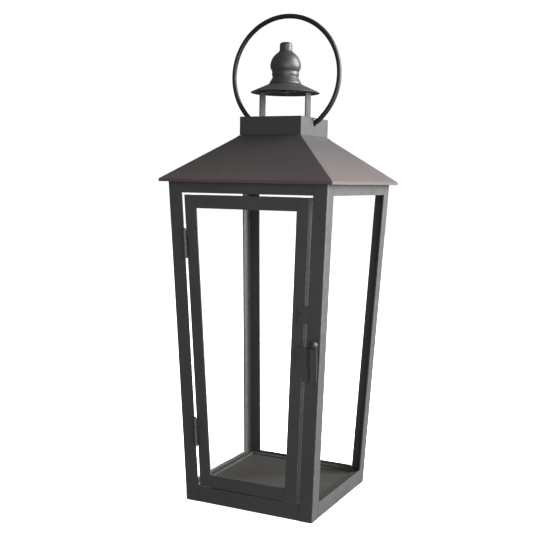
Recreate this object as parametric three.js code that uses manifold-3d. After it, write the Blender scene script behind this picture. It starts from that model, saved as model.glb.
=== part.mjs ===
// Tapered square candle lantern with a hipped roof, a chimney collar, a vent cap, a turned finial,
// a ring handle, and a side-hung door held shut by a turn bar.
//
// Millimetres, +Z up. The lantern stands on z = 0, centred on the Z axis. The door is on the -Y side and
// hangs from the post at (-X, -Y).
import * as THREE from "three";
import { mergeVertices } from "three/addons/utils/BufferGeometryUtils.js";
import Module from "manifold-3d";

const wasm = await Module();
wasm.setup();

// ---- Driving dimensions ------------------------------------------------------------------------------

const GAP = 0.3; // between pieces that touch, and round each rivet in its hole
const TOOL_MARGIN = 1; // how far a cutting tool runs past the sheet it cuts

// Body: four angle posts that lean outwards from the base to the eave
const BASE_HALF = 86.6; // half the outside width at the ground
const EAVE_HEIGHT = 400; // underside of the roof's lip
const TOP_HALF = 105; // half the outside width at the eave
const FLANGE = 17.8; // width of each flange of a post
const SHEET = 2; // thickness of the posts, rails and door members
const RAIL_DEPTH = 12; // the rails' inward flange
const BASE_RAIL_HEIGHT = 20.4;
const TOP_RAIL_DROP = 13; // how far the top rails reach below the eave

// Floor pan
const PAN_SHEET = 1.2;
const PAN_HEIGHT = 18; // top of its rim
const PAN_RIM = 7; // width of its rim
const PAN_DISH = 1.6; // how far the floor lies below the rim

// Roof and chimney collar
const EAVE_HALF = 113.7;
const EAVE_LIP = 3.6;
const ROOF_SHEET = 1.2;
const ROOF_TOP = 458.4; // the ledge that the collar stands on
const ROOF_BREAK = 4.6; // width of the steeper band under the collar
const ROOF_BREAK_RISE = 4.2;
const LEDGE_MARGIN = 0.8; // how far the ledge shows round the collar
const VENT_INSET = 8.6; // from the collar's face to the edge of the opening in the roof under it
const COLLAR_HALF = 41.6;
const COLLAR_HEIGHT = 22.6;
const COLLAR_FLANGE = 8; // foot of the collar, turned inwards

// Cap, its bracket and the finial
const BRACKET_INSET = 10.1; // from the collar's face to the middle of each leg
const BRACKET_WIDTH = 15;
const BRACKET_SHEET = 1.5;
const BRACKET_BEND = 2.6;
const BRACKET_TOP = 516;
const BRACKET_FOOT_CLEARANCE = 1; // between its feet and the collar's wall
const BRACKET_RIVET = 1.6; // radius of the shank
const BRACKET_RIVET_HEAD = 2.6;
const CAP_OVERHANG = 11.8; // from the bracket's legs to the cap's rim
const CAP_RIM_HEIGHT = 513.4;
const CAP_SLOPE = THREE.MathUtils.degToRad(24);
const CAP_FLAT = 20.3; // radius of the flat seat for the finial
const CAP_SHEET = 1;
const SPACER_RADIUS = 6;
const FINIAL_FOOT = 20.2; // radii of the finial, from the bottom up
const FINIAL_GROOVE = 16.1;
const FINIAL_BEAD = 17;
const FINIAL_BULB = 19.3;
const FINIAL_TIP = 7.9;
const FINIAL_HEIGHT = 51.2;
const STUD_RADIUS = 3;
const STUD_BITE = 12; // length inside the finial
const STUD_HEAD = 5; // radius of its peened end, under the bracket
const STUD_HEAD_HEIGHT = 1.2;

// Ring handle
const WIRE_RADIUS = 3;
const RING_RADIUS = 72.5; // to the middle of the wire
const PIVOT_HEIGHT = 17; // above the roof's ledge
const HANDLE_BEND_RISE = 9.6303; // from the pivots up to where the arc ends
const HANDLE_BEND_OUT = 11.4; // from the collar's face to where the arc ends and the inward bend starts
const HANDLE_REACH = 6.1; // how far each end reaches in past the collar's face
const HANDLE_STRAIGHT = 2; // straight run at each inner end
const HANDLE_HOLE = 4.8;

// Door
const DOOR_GAP = 3.4; // beside the stiles
const DOOR_TOP_GAP = 2.3;
const DOOR_BOTTOM_GAP = 1.2;
const DOOR_MEMBER = 16; // width of the stiles and rails
const DOOR_DEPTH = 12;

// Hinges
const UPPER_HINGE_DROP = 59.3; // from the door's top to the hinge's middle
const LOWER_HINGE_RISE = 69.1; // from the door's bottom to the hinge's middle
const HINGE_LENGTH = 35;
const DOOR_KNUCKLE = 9.6; // the rest of the length is the post's knuckle
const HINGE_SET = 2.7; // from the post's edge to the axis
const KNUCKLE_RADIUS = 2.3;
const HINGE_PIN = 0.9;
const PIN_CLEARANCE = 0.25;
const PIN_HEAD = 1.5;
const LEAF = 1;
const LEAF_WIDTH = 10;
const DOOR_LEAF_WIDTH = 6;

// Turn bar and the tabs on the door
const LATCH_HEIGHT = 216.8;
const LATCH_INSET = 6.6; // from the body's corner to the pivot
const BAR_REACH = 45; // from the pivot to the free end
const BAR_WIDTH = 8.4;
const BAR_SHEET = 1.2;
const LATCH_RIVET = 1.8;
const LATCH_HEAD = 4.4;
const LATCH_HEAD_SIDE = 1.2; // height of the head's upright side, under its dome
const SPACER_RIM = 4;
const TAB_SHEET = 2;
const STOP_TAB = { low: 240.5, high: 260.5, reach: 2.6, slope: 3 }; // reach: past the post flange's edge
const PULL_TAB = { low: 171.5, step: 189.5, high: 212, reach: 1.8, toe: 4.2, slope: 2.4, slot: 1.4 };
const TAB_HOLD = 8; // width of each tab that lies on the stile
const TAB_RIVET = 1.2;
const TAB_RIVET_HEAD = 2;

// Shape of a rivet's two ends
const RIVET_DOME = 0.55; // height of the head for its radius
const RIVET_TAIL = 0.75; // radius of the tail for the head's radius
const RIVET_TAIL_HEIGHT = 0.8;

// ---- Worked-out sizes --------------------------------------------------------------------------------

const LEAN = (TOP_HALF - BASE_HALF) / EAVE_HEIGHT; // outward run of each side for each millimetre up
const halfAt = (z) => BASE_HALF + LEAN * z;

const ROOF_SLOPE_TOP = ROOF_TOP - ROOF_BREAK_RISE;
const ROOF_LEDGE = COLLAR_HALF + LEDGE_MARGIN; // the ledge's outer edge
const ROOF_SHOULDER = ROOF_LEDGE + ROOF_BREAK; // where the slope turns steeper
const ROOF_LIP_TOP = EAVE_HEIGHT + EAVE_LIP;
const ROOF_PITCH = (ROOF_SLOPE_TOP - ROOF_LIP_TOP) / (EAVE_HALF - ROOF_SHOULDER);
const BREAK_PITCH = ROOF_BREAK_RISE / ROOF_BREAK;
const ROOF_SKIN = ROOF_SHEET * Math.hypot(1, ROOF_PITCH); // the sheet's thickness measured upright
const BREAK_SKIN = ROOF_SHEET * Math.hypot(1, BREAK_PITCH);

// Where the posts meet the underside of the roof
const UNDERSIDE_AT_BASE = ROOF_LIP_TOP + (EAVE_HALF - BASE_HALF) * ROOF_PITCH - ROOF_SKIN;
const BODY_TOP = (UNDERSIDE_AT_BASE - GAP) / (1 + LEAN * ROOF_PITCH);

const DOOR_BOTTOM = BASE_RAIL_HEIGHT + DOOR_BOTTOM_GAP;
const DOOR_TOP = EAVE_HEIGHT - TOP_RAIL_DROP - DOOR_TOP_GAP;
const STILE_EDGE = FLANGE + DOOR_GAP; // from the body's corner to the stile's outer edge
const STILE_INNER = STILE_EDGE + DOOR_MEMBER;
const HINGE_EDGE = FLANGE + HINGE_SET; // from the body's corner to the hinge axis
const KNUCKLE_STAND = KNUCKLE_RADIUS + GAP; // the axis in front of the door's face
const HINGE_HEIGHTS = { upper: DOOR_TOP - UPPER_HINGE_DROP, lower: DOOR_BOTTOM + LOWER_HINGE_RISE };

const COLLAR_BOTTOM = ROOF_TOP + GAP;
const VENT_HALF = COLLAR_HALF - VENT_INSET;
const BRACKET_HALF = COLLAR_HALF - BRACKET_INSET;
const CAP_RADIUS = BRACKET_HALF + CAP_OVERHANG;
const HANDLE_ARC_END = COLLAR_HALF + HANDLE_BEND_OUT;
const HANDLE_END = COLLAR_HALF - HANDLE_REACH;
const RING_CENTRE_RISE = HANDLE_BEND_RISE + Math.sqrt(RING_RADIUS ** 2 - HANDLE_ARC_END ** 2);
const PIVOT_Z = ROOF_TOP + PIVOT_HEIGHT;
const FOOT_BOTTOM = COLLAR_BOTTOM + ROOF_SHEET + GAP; // underside of the bracket's feet
const BRACKET_FOOT_END = COLLAR_HALF - ROOF_SHEET - BRACKET_FOOT_CLEARANCE;
const BRACKET_RIVET_X = (BRACKET_HALF + BRACKET_SHEET / 2 + BRACKET_FOOT_END) / 2;
const CAP_SEAT = CAP_RIM_HEIGHT + (CAP_RADIUS - CAP_FLAT) * Math.tan(CAP_SLOPE); // top of the cap's flat
const FINIAL_BOTTOM = CAP_SEAT + GAP;

// ---- Geometry helpers --------------------------------------------------------------------------------

function toSolid(geometry) {
  const bare = geometry.clone();
  bare.deleteAttribute("normal");
  bare.deleteAttribute("uv");
  const merged = mergeVertices(bare, 1e-4);
  return new wasm.Manifold(
    new wasm.Mesh({
      numProp: 3,
      vertProperties: merged.attributes.position.array,
      triVerts: new Uint32Array(merged.index.array),
    }),
  );
}

function toGeometry(solid) {
  const mesh = solid.getMesh();
  const geometry = new THREE.BufferGeometry();
  geometry.setAttribute("position", new THREE.BufferAttribute(mesh.vertProperties, 3));
  geometry.setIndex(new THREE.BufferAttribute(mesh.triVerts, 1));
  geometry.computeVertexNormals();
  return geometry;
}

// One body from several that run into each other.
function join(...geometries) {
  return toGeometry(geometries.map(toSolid).reduce((whole, next) => whole.add(next)));
}

function cut(geometry, ...tools) {
  const whole = toSolid(geometry);
  return toGeometry(tools.map(toSolid).reduce((left, tool) => left.subtract(tool), whole));
}

const outline = (points) => new THREE.Shape(points.map(([x, y]) => new THREE.Vector2(x, y)));

// A prism of an outline in XY, from z = low to z = high.
function prism(shape, low, high, curveSegments = 12) {
  const depth = high - low;
  const geometry = new THREE.ExtrudeGeometry(shape, { depth, bevelEnabled: false, curveSegments });
  return geometry.translate(0, 0, low);
}

// A piece that runs up one corner of the body: an outline given by distances in from the corner's two
// faces, between two heights, following the corner's lean. sx and sy are the corner's signs.
function alongCorner(points, sx, sy, low, high) {
  const placed = points.map(([a, b]) => [sx * (BASE_HALF - a), sy * (BASE_HALF - b)]);
  return leaned(outline(placed), sx, sy, low, high);
}

function leaned(shape, sx, sy, low, high) {
  const lean = new THREE.Matrix4().makeShear(0, 0, 0, 0, sx * LEAN, sy * LEAN);
  return prism(shape, low, high).applyMatrix4(lean);
}

// A sheet in the front face, with ends that follow the posts: inset is the distance from each end to the
// body's corner, and back and front are depths from the face, positive outwards.
function facePlate(low, high, inset, back, front) {
  const shape = outline([
    [inset - halfAt(low), low],
    [halfAt(low) - inset, low],
    [halfAt(high) - inset, high],
    [inset - halfAt(high), high],
  ]);
  return prism(shape, back, front).applyMatrix4(FACE);
}

// Carries x, height and outward depth to the leaning front face.
const FACE = new THREE.Matrix4().set(1, 0, 0, 0, 0, -LEAN, -1, -BASE_HALF, 0, 1, 0, 0, 0, 0, 0, 1);

function cylinder(radius, low, high, x = 0, y = 0, segments = 24) {
  const geometry = new THREE.CylinderGeometry(radius, radius, high - low, segments);
  return geometry.rotateX(Math.PI / 2).translate(x, y, (low + high) / 2);
}

// A body of revolution about Z from a closed profile of radius and height.
function turned(profile, segments = 40) {
  const points = profile.map(([r, z]) => new THREE.Vector2(r, z));
  return new THREE.LatheGeometry(points, segments).rotateX(Math.PI / 2);
}

// A square body about Z from a closed profile of half-width and height.
function squared(profile) {
  const corners = profile.map(([half, z]) => [half * Math.SQRT2, z]);
  return turned(corners, 4).rotateZ(Math.PI / 4);
}

const BEND_STEPS = 6; // facets of each bend

// A strip of sheet bent along a path: the outline of the path's two sides.
function strip(path, thickness) {
  const middle = path.getPoints(BEND_STEPS);
  const sides = [1, -1].map((side) =>
    middle.map((point, i) => {
      const before = middle[Math.max(i - 1, 0)];
      const after = middle[Math.min(i + 1, middle.length - 1)];
      const along = after.clone().sub(before).normalize();
      return [point.x - (side * along.y * thickness) / 2, point.y + (side * along.x * thickness) / 2];
    }),
  );
  return outline([...sides[0], ...sides[1].reverse()]);
}

const RIVET_SEGMENTS = 20;

// A rivet about Z: a domed head above z = top, on an upright side if it has one, a shank, and a flat
// tail below z = bottom.
function rivet(shank, head, bottom, top, side = 0) {
  const spring = top + side; // where the dome starts
  const dome = [0, 0.25, 0.5, 0.75].map((t) => {
    const angle = (t * Math.PI) / 2;
    return [head * Math.cos(angle), spring + head * RIVET_DOME * Math.sin(angle)];
  });
  const tail = head * RIVET_TAIL;
  const profile = [
    [0, bottom - RIVET_TAIL_HEIGHT],
    [tail, bottom - RIVET_TAIL_HEIGHT],
    [tail, bottom],
    [shank, bottom],
    [shank, top],
    ...(side ? [[head, top]] : []),
    ...dome,
    [0, spring + head * RIVET_DOME],
  ];
  return turned(profile, RIVET_SEGMENTS);
}

// ---- Materials ---------------------------------------------------------------------------------------

const framePaint = { color: 0x454142, roughness: 0.62, metalness: 0.35 };
const roofPaint = { color: 0x4b4546, roughness: 0.6, metalness: 0.35 };
const floorPaint = { color: 0x55534e, roughness: 0.66, metalness: 0.3 };
const finialPaint = { color: 0x3b393a, roughness: 0.32, metalness: 0.4 };
const steel = { color: 0x3a3839, roughness: 0.45, metalness: 0.7 };

const lantern = new THREE.Group();

function add(name, geometry, paint, parent = lantern) {
  const mesh = new THREE.Mesh(geometry, new THREE.MeshStandardMaterial(paint));
  mesh.name = name;
  parent.add(mesh);
  return mesh;
}

// A group on the leaning front face: x to the right, y up the face, z outwards.
function onFace(x, height) {
  const place = new THREE.Group();
  place.position.set(x, -halfAt(height), height);
  place.rotation.x = Math.PI / 2 + Math.atan(LEAN);
  lantern.add(place);
  return place;
}

// ---- Body --------------------------------------------------------------------------------------------

const LATCH_X = halfAt(LATCH_HEIGHT) - LATCH_INSET;

// A tool in a face group's frame, carried into the frame of the lantern.
function faceTool(geometry, x, height) {
  const place = onFace(x, height);
  place.updateMatrix();
  lantern.remove(place);
  return geometry.applyMatrix4(place.matrix);
}

function addPosts() {
  const angle = [
    [0, 0],
    [FLANGE, 0],
    [FLANGE, SHEET],
    [SHEET, SHEET],
    [SHEET, FLANGE],
    [0, FLANGE],
  ];
  const corners = {
    front_left: [-1, -1],
    front_right: [1, -1],
    back_right: [1, 1],
    back_left: [-1, 1],
  };
  for (const [name, [sx, sy]] of Object.entries(corners)) {
    let post = alongCorner(angle, sx, sy, 0, BODY_TOP);
    if (name === "front_right") {
      const hole = cylinder(LATCH_RIVET + GAP, -2 * SHEET, SHEET);
      post = cut(post, faceTool(hole, LATCH_X, LATCH_HEIGHT));
    }
    add("post_" + name, post, framePaint);
  }
}

function addRails() {
  const inset = FLANGE + GAP;
  const topLow = EAVE_HEIGHT - TOP_RAIL_DROP;
  const sides = ["front", "right", "back", "left"];
  sides.forEach((side, i) => {
    const baseRail = join(
      facePlate(0, BASE_RAIL_HEIGHT, inset, -SHEET, 0),
      facePlate(0, SHEET, inset, -RAIL_DEPTH, 0),
    );
    const topRail = join(
      facePlate(topLow, BODY_TOP, inset, -SHEET, 0),
      facePlate(BODY_TOP - SHEET, BODY_TOP, inset, -RAIL_DEPTH, 0),
    );
    add("base_rail_" + side, baseRail, framePaint).rotation.z = (i * Math.PI) / 2;
    add("top_rail_" + side, topRail, framePaint).rotation.z = (i * Math.PI) / 2;
  });
}

// A shallow dish with a raised rim and a skirt that stands on the rails' flanges.
function addFloorPan() {
  const skirt = BASE_HALF - SHEET - GAP;
  const dish = skirt - PAN_RIM;
  const floor = PAN_HEIGHT - PAN_DISH;
  const foot = SHEET + GAP;
  const profile = [
    [0, floor - PAN_SHEET],
    [dish + PAN_SHEET, floor - PAN_SHEET],
    [dish + PAN_SHEET, PAN_HEIGHT - PAN_SHEET],
    [skirt - PAN_SHEET, PAN_HEIGHT - PAN_SHEET],
    [skirt - PAN_SHEET, foot],
    [skirt, foot],
    [skirt, PAN_HEIGHT],
    [dish, PAN_HEIGHT],
    [dish, floor],
    [0, floor],
  ];
  add("floor_pan", squared(profile), floorPaint);
}

// ---- Roof, collar, cap and finial --------------------------------------------------------------------

// Rivet holes through the feet of the cap bracket and what they stand on.
function footHoles(low, high) {
  return [-1, 1].map((side) => cylinder(BRACKET_RIVET + GAP, low, high, side * BRACKET_RIVET_X));
}

function addRoof() {
  const inside = EAVE_HALF - ROOF_SHEET;
  const under = ROOF_TOP - ROOF_SHEET;
  const mitre = (BREAK_SKIN - ROOF_SKIN) / (BREAK_PITCH - ROOF_PITCH); // where the two undersides cross
  const bandRun = (under - ROOF_SLOPE_TOP + BREAK_SKIN) / BREAK_PITCH;
  const profile = [
    [inside, EAVE_HEIGHT],
    [EAVE_HALF, EAVE_HEIGHT],
    [EAVE_HALF, ROOF_LIP_TOP],
    [ROOF_SHOULDER, ROOF_SLOPE_TOP],
    [ROOF_LEDGE, ROOF_TOP],
    [VENT_HALF, ROOF_TOP],
    [VENT_HALF, under],
    [ROOF_SHOULDER - bandRun, under],
    [ROOF_SHOULDER - mitre, ROOF_SLOPE_TOP + mitre * ROOF_PITCH - ROOF_SKIN],
    [inside, ROOF_LIP_TOP + ROOF_SHEET * ROOF_PITCH - ROOF_SKIN],
    [inside, EAVE_HEIGHT],
  ];
  const holes = footHoles(under - TOOL_MARGIN, ROOF_TOP + TOOL_MARGIN);
  add("roof", cut(squared(profile), ...holes), roofPaint);
}

function addCollar() {
  const inside = COLLAR_HALF - ROOF_SHEET;
  const top = COLLAR_BOTTOM + COLLAR_HEIGHT;
  const profile = [
    [COLLAR_HALF, COLLAR_BOTTOM],
    [COLLAR_HALF, top],
    [inside, top],
    [inside, COLLAR_BOTTOM + ROOF_SHEET],
    [COLLAR_HALF - COLLAR_FLANGE, COLLAR_BOTTOM + ROOF_SHEET],
    [COLLAR_HALF - COLLAR_FLANGE, COLLAR_BOTTOM],
    [COLLAR_HALF, COLLAR_BOTTOM],
  ];
  const reach = COLLAR_HALF + TOOL_MARGIN;
  const handleHoles = cylinder(HANDLE_HOLE, -reach, reach).rotateY(Math.PI / 2).translate(0, 0, PIVOT_Z);
  const feet = footHoles(COLLAR_BOTTOM - TOOL_MARGIN, COLLAR_BOTTOM + ROOF_SHEET + TOOL_MARGIN);
  add("chimney_collar", cut(squared(profile), handleHoles, ...feet), roofPaint);
}

// One strip: a foot, a leg, the bridge under the cap, a leg and a foot.
function addCapBracket() {
  const foot = FOOT_BOTTOM + BRACKET_SHEET / 2;
  const top = BRACKET_TOP - BRACKET_SHEET / 2;
  const r = BRACKET_BEND;
  const x = BRACKET_HALF;
  const path = new THREE.Path();
  path.moveTo(BRACKET_FOOT_END, foot);
  path.lineTo(x + r, foot);
  path.absarc(x + r, foot + r, r, -Math.PI / 2, -Math.PI, true);
  path.lineTo(x, top - r);
  path.absarc(x - r, top - r, r, 0, Math.PI / 2, false);
  path.lineTo(-x + r, top);
  path.absarc(-x + r, top - r, r, Math.PI / 2, Math.PI, false);
  path.lineTo(-x, foot + r);
  path.absarc(-x - r, foot + r, r, 0, -Math.PI / 2, true);
  path.lineTo(-BRACKET_FOOT_END, foot);
  const half = BRACKET_WIDTH / 2;
  const bent = prism(strip(path, BRACKET_SHEET), -half, half).rotateX(Math.PI / 2);
  const reach = BRACKET_SHEET + TOOL_MARGIN;
  const studHole = cylinder(STUD_RADIUS + GAP, BRACKET_TOP - reach, BRACKET_TOP + reach);
  add("cap_bracket", cut(bent, studHole, ...footHoles(foot - reach, foot + reach)), roofPaint);
  const head = FOOT_BOTTOM + BRACKET_SHEET + GAP;
  const tail = ROOF_TOP - ROOF_SHEET - GAP;
  for (const [name, side] of Object.entries({ left: -1, right: 1 })) {
    const pin = rivet(BRACKET_RIVET, BRACKET_RIVET_HEAD, tail, head);
    add("bracket_rivet_" + name, pin, steel).position.x = side * BRACKET_RIVET_X;
  }
}

const CAP_SEGMENTS = 56;

function addCap() {
  const hole = STUD_RADIUS + GAP;
  const under = CAP_SEAT - CAP_SHEET;
  const profile = [
    [hole, under],
    [CAP_FLAT, under],
    [CAP_RADIUS - CAP_SHEET, CAP_RIM_HEIGHT - CAP_SHEET / 2],
    [CAP_RADIUS - CAP_SHEET, CAP_RIM_HEIGHT - CAP_SHEET],
    [CAP_RADIUS, CAP_RIM_HEIGHT - CAP_SHEET],
    [CAP_RADIUS, CAP_RIM_HEIGHT],
    [CAP_FLAT, CAP_SEAT],
    [hole, CAP_SEAT],
    [hole, under],
  ];
  add("vent_cap", turned(profile, CAP_SEGMENTS), roofPaint);
  const low = BRACKET_TOP + GAP;
  const high = under - GAP;
  const bore = cylinder(hole, low - TOOL_MARGIN, high + TOOL_MARGIN);
  add("cap_spacer", cut(cylinder(SPACER_RADIUS, low, high), bore), steel);
}

// A turned knob, from the foot up: flared foot, groove, bead, bulb, neck and tip. It is held by a stud
// that is peened over under the bracket.
function addFinial() {
  const at = (share) => FINIAL_BOTTOM + share * FINIAL_HEIGHT;
  const neck = (FINIAL_BULB + FINIAL_TIP) / 2; // half way in from the bulb to the tip
  const contour = [
    [FINIAL_FOOT, at(0)],
    [FINIAL_FOOT * 0.98, at(0.03)],
    [FINIAL_FOOT * 0.915, at(0.07)],
    [FINIAL_GROOVE * 1.03, at(0.13)],
    [FINIAL_GROOVE, at(0.155)],
    [FINIAL_BEAD * 0.985, at(0.19)],
    [FINIAL_BEAD, at(0.23)],
    [FINIAL_BEAD * 0.985, at(0.285)],
    [FINIAL_BULB * 0.965, at(0.36)],
    [FINIAL_BULB, at(0.43)],
    [FINIAL_BULB * 0.95, at(0.54)],
    [FINIAL_BULB * 0.88, at(0.6)],
    [neck * 1.11, at(0.66)],
    [neck * 0.88, at(0.72)],
    [FINIAL_TIP * 1.05, at(0.79)],
    [FINIAL_TIP, at(0.82)],
    [FINIAL_TIP, at(0.945)],
    [FINIAL_TIP * 0.56, at(1)],
    [0, at(1)],
  ];
  const hole = STUD_RADIUS + GAP;
  const bore = FINIAL_BOTTOM + STUD_BITE + GAP;
  add("finial", turned([[0, bore], [hole, bore], [hole, FINIAL_BOTTOM], ...contour]), finialPaint);

  const headTop = BRACKET_TOP - BRACKET_SHEET - GAP;
  const stud = cylinder(STUD_RADIUS, headTop - STUD_HEAD_HEIGHT, FINIAL_BOTTOM + STUD_BITE);
  const head = cylinder(STUD_HEAD, headTop - STUD_HEAD_HEIGHT, headTop);
  add("finial_stud", join(stud, head), steel);
}

// ---- Ring handle -------------------------------------------------------------------------------------

class UprightArc extends THREE.Curve {
  constructor(radius, height, start, sweep) {
    super();
    Object.assign(this, { radius, height, start, sweep });
  }
  getPoint(t, target = new THREE.Vector3()) {
    const angle = this.start + t * this.sweep;
    return target.set(this.radius * Math.cos(angle), 0, this.height + this.radius * Math.sin(angle));
  }
}

const HANDLE_STEPS = 110;
const WIRE_SEGMENTS = 12;

function addHandle() {
  const centre = PIVOT_Z + RING_CENTRE_RISE;
  const end = -Math.acos(HANDLE_ARC_END / RING_RADIUS); // the arc's end on +X, below the ring's middle
  const arcEnd = centre + RING_RADIUS * Math.sin(end);
  const bend = HANDLE_ARC_END + (arcEnd - PIVOT_Z) * Math.tan(end); // where the tangent meets the pivot line
  const start = HANDLE_END + HANDLE_STRAIGHT;
  const at = (x, z) => new THREE.Vector3(x, 0, z);
  const onSide = (side) => [
    at(side * HANDLE_END, PIVOT_Z),
    at(side * start, PIVOT_Z),
    at(side * bend, PIVOT_Z),
    at(side * HANDLE_ARC_END, arcEnd),
  ];
  const right = onSide(1);
  const left = onSide(-1).reverse();
  const wire = new THREE.CurvePath();
  wire.add(new THREE.LineCurve3(right[0], right[1]));
  wire.add(new THREE.QuadraticBezierCurve3(right[1], right[2], right[3]));
  wire.add(new UprightArc(RING_RADIUS, centre, end, Math.PI - 2 * end));
  wire.add(new THREE.QuadraticBezierCurve3(left[0], left[1], left[2]));
  wire.add(new THREE.LineCurve3(left[2], left[3]));
  const section = new THREE.Shape().absarc(0, 0, WIRE_RADIUS, 0, 2 * Math.PI);
  const rod = new THREE.ExtrudeGeometry(section, {
    extrudePath: wire,
    steps: HANDLE_STEPS,
    curveSegments: WIRE_SEGMENTS / 2,
  });
  add("ring_handle", rod, finialPaint);
}

// ---- Door --------------------------------------------------------------------------------------------

function addDoor() {
  const stile = [
    [STILE_EDGE, 0],
    [STILE_INNER, 0],
    [STILE_INNER, SHEET],
    [STILE_EDGE + SHEET, SHEET],
    [STILE_EDGE + SHEET, DOOR_DEPTH],
    [STILE_EDGE, DOOR_DEPTH],
  ];
  const hinged = alongCorner(stile, -1, -1, DOOR_BOTTOM, DOOR_TOP);
  const free = alongCorner(stile, 1, -1, DOOR_BOTTOM, DOOR_TOP);
  const holes = [STOP_TAB, PULL_TAB].map(tabRivetHole);
  add("door_stile_hinge_side", hinged, framePaint);
  add("door_stile_latch_side", cut(free, ...holes), framePaint);
  const inset = STILE_INNER + GAP;
  const top = join(
    facePlate(DOOR_TOP - DOOR_MEMBER, DOOR_TOP, inset, -SHEET, 0),
    facePlate(DOOR_TOP - SHEET, DOOR_TOP, inset, -DOOR_DEPTH, 0),
  );
  const bottom = join(
    facePlate(DOOR_BOTTOM, DOOR_BOTTOM + DOOR_MEMBER, inset, -SHEET, 0),
    facePlate(DOOR_BOTTOM, DOOR_BOTTOM + SHEET, inset, -DOOR_DEPTH, 0),
  );
  add("door_rail_top", top, framePaint);
  add("door_rail_bottom", bottom, framePaint);
}

// Each hinge: a long knuckle on the post with its leaf behind the flange, a short knuckle above it with
// its leaf on the door's face, and a headed pin.
function addHinges() {
  const ring = (radius) => {
    const shape = new THREE.Shape();
    shape.absarc(HINGE_EDGE - BASE_HALF, -BASE_HALF - KNUCKLE_STAND, radius, 0, 2 * Math.PI);
    return shape;
  };
  const round = (radius, low, high) => leaned(ring(radius), -1, -1, low, high);
  const neck = HINGE_EDGE - DOOR_GAP / 2 + GAP;
  const behind = SHEET + GAP;
  const postLeaf = [
    [neck, -KNUCKLE_STAND],
    [neck + LEAF, -KNUCKLE_STAND],
    [neck + LEAF, behind + LEAF],
    [neck - LEAF_WIDTH, behind + LEAF],
    [neck - LEAF_WIDTH, behind],
    [neck, behind],
  ];
  const doorLeaf = [
    [HINGE_EDGE, -GAP],
    [STILE_EDGE + DOOR_LEAF_WIDTH, -GAP],
    [STILE_EDGE + DOOR_LEAF_WIDTH, -GAP - LEAF],
    [HINGE_EDGE, -GAP - LEAF],
  ];
  // A knuckle and its leaf between two heights.
  const half = (leaf, low, high) => {
    const solid = join(round(KNUCKLE_RADIUS, low, high), alongCorner(leaf, -1, -1, low, high));
    return cut(solid, round(HINGE_PIN + PIN_CLEARANCE, low - TOOL_MARGIN, high + TOOL_MARGIN));
  };
  for (const [name, middle] of Object.entries(HINGE_HEIGHTS)) {
    const low = middle - HINGE_LENGTH / 2;
    const high = middle + HINGE_LENGTH / 2;
    const split = high - DOOR_KNUCKLE;
    const headTop = high + GAP + PIN_HEAD;
    const pin = join(round(HINGE_PIN, low, headTop), round(KNUCKLE_RADIUS - GAP, high + GAP, headTop));
    add(name + "_hinge_post_leaf", half(postLeaf, low, split - GAP), framePaint);
    add(name + "_hinge_door_leaf", half(doorLeaf, split, high), framePaint);
    add(name + "_hinge_pin", pin, steel);
  }
}

// ---- Turn bar and tabs -------------------------------------------------------------------------------

const TAB_FRONT = GAP + TAB_SHEET + GAP; // where the heads of the tabs' rivets start
const BAR_BACK = TAB_FRONT + TAB_RIVET_HEAD * RIVET_DOME + GAP; // the bar turns in front of those heads

// Where a tab's rivet goes: its x and its height on the front face.
function tabRivetPlace(tab) {
  const height = ((tab.step ?? tab.low) + tab.high) / 2;
  return [halfAt(height) - STILE_EDGE - TAB_HOLD / 2, height];
}

function tabRivetHole(tab) {
  const reach = SHEET + TAB_SHEET + TOOL_MARGIN;
  return faceTool(cylinder(TAB_RIVET + GAP, -reach, reach), ...tabRivetPlace(tab));
}

function addTurnBar() {
  const pivot = onFace(LATCH_X, LATCH_HEIGHT);
  const r = BAR_WIDTH / 2;
  const shape = new THREE.Shape();
  shape.absarc(0, 0, r, 0, Math.PI);
  shape.absarc(0, r - BAR_REACH, r, Math.PI, 2 * Math.PI);
  const front = BAR_BACK + BAR_SHEET + GAP;
  const hole = () => cylinder(LATCH_RIVET + GAP, 0, front);
  const spacer = cylinder(SPACER_RIM, GAP, BAR_BACK - GAP);
  add("turn_bar", cut(prism(shape, BAR_BACK, BAR_BACK + BAR_SHEET), hole()), framePaint, pivot);
  add("turn_bar_spacer", cut(spacer, hole()), steel, pivot);
  const pin = rivet(LATCH_RIVET, LATCH_HEAD, -SHEET - GAP, front, LATCH_HEAD_SIDE);
  add("turn_bar_rivet", pin, steel, pivot);
}

// Tabs on the latch stile that lap over the post's flange and stop the door flush with the face.
function addTabs() {
  const back = STILE_EDGE + TAB_HOLD;
  const stopEdge = FLANGE - STOP_TAB.reach;
  const stop = [
    [back, STOP_TAB.low],
    [stopEdge, STOP_TAB.low],
    [stopEdge, STOP_TAB.high - STOP_TAB.slope],
    [stopEdge + STOP_TAB.slope, STOP_TAB.high],
    [back, STOP_TAB.high],
  ];
  const pullEdge = FLANGE - PULL_TAB.reach;
  const toeEdge = FLANGE - PULL_TAB.toe;
  const pull = [
    [back, PULL_TAB.step],
    [FLANGE + PULL_TAB.slot, PULL_TAB.step],
    [FLANGE + PULL_TAB.slot, PULL_TAB.low],
    [toeEdge, PULL_TAB.low],
    [toeEdge, PULL_TAB.step - PULL_TAB.slope],
    [pullEdge, PULL_TAB.step],
    [pullEdge, PULL_TAB.high],
    [back, PULL_TAB.high],
  ];
  const addTab = (name, tab, points) => {
    const shape = outline(points.map(([inset, z]) => [halfAt(z) - inset, z]));
    const plate = prism(shape, GAP, GAP + TAB_SHEET).applyMatrix4(FACE);
    add(name, cut(plate, tabRivetHole(tab)), framePaint);
    const pin = rivet(TAB_RIVET, TAB_RIVET_HEAD, -SHEET - GAP, TAB_FRONT);
    add(name + "_rivet", pin, steel, onFace(...tabRivetPlace(tab)));
  };
  addTab("door_stop_tab", STOP_TAB, stop);
  addTab("door_pull_tab", PULL_TAB, pull);
}

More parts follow.
